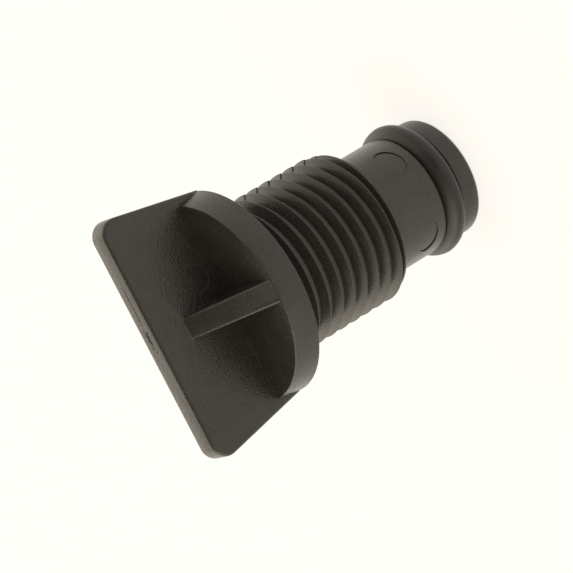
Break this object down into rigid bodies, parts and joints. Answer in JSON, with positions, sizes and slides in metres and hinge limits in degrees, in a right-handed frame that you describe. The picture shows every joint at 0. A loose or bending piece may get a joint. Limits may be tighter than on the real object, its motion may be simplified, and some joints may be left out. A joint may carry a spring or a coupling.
{
  "type": "radiator drain plug",
  "caption": "Wing-handled moulded drain plug: fine-pitch external screw thread below a round flange, plain pilot and a rubber O-ring in a groove near its flat tip.",
  "frame": {"origin": "centre of the flat tip end face, on which the plug stands", "axes": "+Z along the screw axis from the tip to the handle, X across the wing plate, Y square to the wing plate"},
  "size_m": [0.0244, 0.021, 0.036],
  "materials": {
    "plug_plastic": "black glass-filled nylon, fine spark-eroded grain on the handle, smoother below the flange",
    "seal_rubber": "smooth black rubber with a soft sheen"
  },
  "bodies": {
    "root": {"drain_plug": "plug_plastic", "o_ring": "seal_rubber"}
  },
  "joints": []
}
